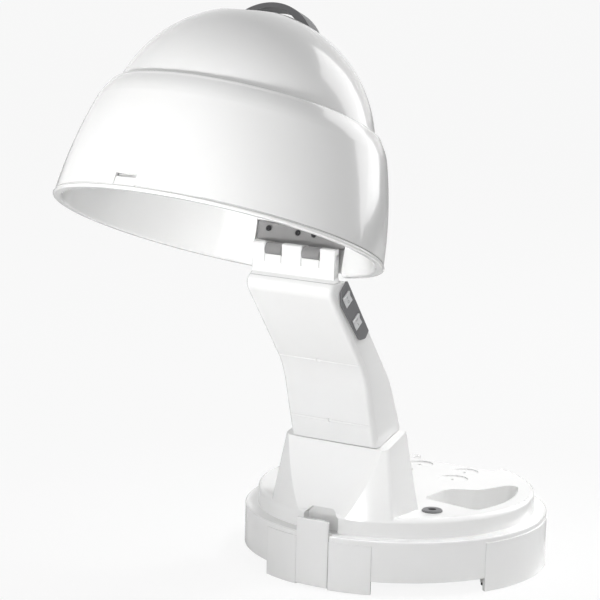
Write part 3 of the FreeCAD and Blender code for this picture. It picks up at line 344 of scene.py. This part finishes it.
def print_marks(node, body, joint, ring_first):
    """A line and a ring on the two sloping faces of a rocker; ring_first puts the ring lower."""
    axis = Vector(joints[joint]["axis"])
    # the rocker's slopes are the two broadest flats that look to the right
    slopes = {}
    for face in frame["nodes"][node].data.polygons:
        if face.normal.x > 0.9:
            key = tuple(round(part, 2) for part in face.normal)
            area, total = slopes.get(key, (0.0, Vector()))
            slopes[key] = (area + face.area, total + face.center * face.area)
    broad = sorted(slopes, key=lambda key: -slopes[key][0])[:2]
    broad.sort(key=lambda key: (slopes[key][1] / slopes[key][0]).z)
    form = bmesh.new()
    for i, key in enumerate(broad):
        normal = Vector(key).normalized()
        area, total = slopes[key]
        across = normal.cross(axis)
        seat = Matrix.Translation(total / area + normal * ink_lift) @ Matrix(
            (axis, across, normal)).transposed().to_4x4()
        if (i == 0) == ring_first:
            fresh = []
            for radius in (mark_r, ring_bore_r):
                fresh += bmesh.ops.create_circle(form, segments=24, radius=radius)["verts"]
            edges = {edge for vert in fresh for edge in vert.link_edges}
            bmesh.ops.bridge_loops(form, edges=list(edges))
        else:
            fresh = bmesh.ops.create_grid(form, x_segments=1, y_segments=1, size=mark_r)["verts"]
            bmesh.ops.scale(form, vec=(line_share, 1.0, 1.0), verts=fresh)
        bmesh.ops.transform(form, matrix=seat, verts=fresh)
    # every mark looks out of the rocker before it is made solid
    for face in form.faces:
        if face.normal.x < 0:
            face.normal_flip()
    bmesh.ops.solidify(form, geom=form.faces[:], thickness=ink_t)
    mesh = bpy.data.meshes.new(node + "_marks")
    form.to_mesh(mesh)
    form.free()
    mesh.materials.append(ink)
    marks = bpy.data.objects.new(node + "_marks", mesh)
    bpy.context.collection.objects.link(marks)
    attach(marks, body)


print_marks("power_rocker", "power_button", "power_rock", True)
print_marks("heat_rocker", "heat_button", "heat_rock", False)

black, tree, shader, place = finish("Black glass-filled nylon", "#1C1C1D", 0.5, IOR=plastic_ior)
mottle(tree, shader, place, 200.0, "#181819", "#262627", 0.45, 0.6)
dress(black, "power_switch", "heat_switch")

# ---- Hinge -----------------------------------------------------------------------------------------
# A mid grey bracket inside the hood's rear wall, moulded in ABS with two knuckles that sit in the
# arm's head, and four small black screws into the skirt's bosses.
mid, tree, shader, place = finish("Mid grey satin ABS", "#8B8A8A", 0.42, IOR=plastic_ior)
mottle(tree, shader, place, 50.0, "#848383", "#929191", 0.38, 0.48)
dress(mid, "hinge_bracket")
hood_tilt = math.radians(21.0)          # the open hood's front edge is up by this
inward = Vector((0, -math.cos(hood_tilt), math.sin(hood_tilt)))
middle_size = (0.0024, 0.0014, 0.0014)
set_screws("bracket_screws", "hood", inward, *middle_size, black_zinc)

# ---- Hood ------------------------------------------------------------------------------------------
# Three white mouldings: a flared skirt, a round dome that snaps in from below, and a liner whose
# turned lip closes the gap under the skirt. The dome's back has the air intake slots.
dress(white, "hood_skirt", "hood_dome", "hood_liner")

# ---- Carrying handle -------------------------------------------------------------------------------
# A strap of dark satin ABS that arches over the hollow in the dome's top, for a hand to lift the
# hood by.
dress(dark, "carry_handle")

# ---- Blower ----------------------------------------------------------------------------------------
# Motor, wheel and heater in a nylon duct above the liner's holes. The heater is a flat ribbon wound
# in slotted mica boards, and its cut-out, the motor's can and the mount are plated steel.
dress(zinc, "motor_mount", "blower_motor", "thermal_cutout")
small_size = (0.0023, 0.0012, 0.0012)
hood_up = Vector((0, math.sin(hood_tilt), math.cos(hood_tilt)))
set_screws("duct_screws", "hood", hood_up, *small_size, zinc)
mica, tree, shader, place = finish("Mica board", "#B8A98A", 0.5)
mottle(tree, shader, place, 300.0, "#AA9B7C", "#C6B899", 0.4, 0.62)
dress(mica, "heater_frame")
wire, tree, shader, place = finish("Resistance ribbon", "#8C8378", 0.35, Metallic=1.0)
mottle(tree, shader, place, 300.0, "#7A7268", "#9C9388", 0.3, 0.45)
dress(wire, "heater_coil")

# ---- Studio ----------------------------------------------------------------------------------------
# A white seamless table under soft boxes: a broad one over the camera's left shoulder, a fill far to
# the left, a low one that opens up the hood's inside, a narrow one from above right for the base,
# and a tall panel behind on the right whose reflection makes the bright edge of the hood.
floor_half = 18
floor_z = -0.0002           # a hair below the pads, so that the two faces don't share a plane
corners = [(x * floor_half, y * floor_half, floor_z) for x, y in ((-1, -1), (1, -1), (1, 1), (-1, 1))]
floor_mesh = bpy.data.meshes.new("floor")
floor_mesh.from_pydata(corners, [], [(0, 1, 2, 3)])
floor = bpy.data.objects.new("floor", floor_mesh)
bpy.context.collection.objects.link(floor)
table = bpy.data.materials.new("Matt white table top")
table.use_nodes = True
tree = table.node_tree
shader = tree.nodes["Principled BSDF"]
shader.inputs["Base Color"].default_value = linear("#F6F6F6")
shader.inputs["Roughness"].default_value = 0.7
ray = add(tree, "ShaderNodeLightPath")
glow = add(tree, "ShaderNodeEmission")
glow_share = 0.9            # of what the camera sees of the table; the rest is lit and shadowed
share = times(tree, ray.outputs["Is Camera Ray"], glow_share)
from_above = add(tree, "ShaderNodeMixShader",
                 [(share, 0), (shader.outputs[0], 1), (glow.outputs[0], 2)])
# from below the table is clear, so that the feet can be looked at
from_below = add(tree, "ShaderNodeBsdfTransparent")
facing = add(tree, "ShaderNodeNewGeometry")
sided = add(tree, "ShaderNodeMixShader",
            [(facing.outputs["Backfacing"], 0), (from_above.outputs[0], 1), (from_below.outputs[0], 2)])
tree.links.new(sided.outputs[0], tree.nodes["Material Output"].inputs["Surface"])
floor_mesh.materials.append(table)

# the room is white to the camera and in reflections, and much dimmer as a light
room_light = 0.27
world = bpy.data.worlds.new("studio")
bpy.context.scene.world = world
world.use_nodes = True
tree = world.node_tree
sky = tree.nodes["Background"]
sky.inputs["Color"].default_value = (1, 1, 1, 1)
ray = add(tree, "ShaderNodeLightPath")
shown = ray.outputs["Is Camera Ray"]
for kind in ("Is Transmission Ray", "Is Glossy Ray"):
    shown = add(tree, "ShaderNodeMath", [(shown, 0), (ray.outputs[kind], 1)],
                operation="MAXIMUM").outputs[0]
seen = add(tree, "ShaderNodeMath", [(shown, 0)], operation="MULTIPLY_ADD")
seen.inputs[1].default_value = 1 - room_light
seen.inputs[2].default_value = room_light
tree.links.new(seen.outputs[0], sky.inputs["Strength"])

middle = Vector((0, -0.15, 0.28))      # of the open dryer
eye = Vector((1.1489, -1.8772, 0.6126))
az, el, roll = math.radians(33.8), math.radians(9.9), math.radians(1.34)


def soft_box(name, turn, height, distance, size, power, aim=middle, spread=180, mirrored=True):
    """Area lamp round the dryer; turn is its angle in degrees from the camera's side to the right.

    Height is over the dryer's middle. A small spread makes a narrow beam.
    """
    angle = az + math.radians(turn)
    at = middle + Vector((math.sin(angle), -math.cos(angle), 0)) * distance + Vector((0, 0, height))
    lamp = bpy.data.lights.new(name, "AREA")
    lamp.shape = "RECTANGLE"
    lamp.size, lamp.size_y = size
    lamp.energy = power
    lamp.spread = math.radians(spread)
    holder = bpy.data.objects.new(name, lamp)
    holder.matrix_world = Matrix.LocRotScale(at, (aim - at).to_track_quat("-Z", "Y"), None)
    holder.visible_glossy = mirrored
    bpy.context.collection.objects.link(holder)


inside = Vector((0, -0.27, 0.4))       # of the hood
base_middle = Vector((0, 0.04, 0))
soft_box("key", -16, 0.6, 2.6, (1.2, 1.0), 13.7)
soft_box("left fill", -78, 0.4, 2.3, (1.0, 1.6), 6.0)
soft_box("low fill", -34, -0.2, 1.5, (0.5, 0.3), 1.1, inside, 40)
soft_box("base light", 84, 1.6, 0.85, (0.3, 0.3), 0.38, base_middle, 20, mirrored=False)
soft_box("rear panel", 123, 0.75, 1.9, (1.15, 1.7), 13.5)

forward = Vector((-math.sin(az) * math.cos(el), math.cos(az) * math.cos(el), -math.sin(el)))
level = forward.cross(Vector((0, 0, 1))).normalized()
upright = level.cross(forward)
right = level * math.cos(roll) + upright * math.sin(roll)
up = upright * math.cos(roll) - level * math.sin(roll)
camera = bpy.data.cameras.new("camera")
camera.sensor_width = 36.0
camera.lens = 152.3         # with the eye about two metres away
holder = bpy.data.objects.new("camera", camera)
bpy.context.collection.objects.link(holder)
holder.matrix_world = Matrix.Translation(eye) @ Matrix((right, up, -forward)).transposed().to_4x4()
bpy.context.scene.camera = holder
bpy.context.scene.view_settings.view_transform = "Standard"
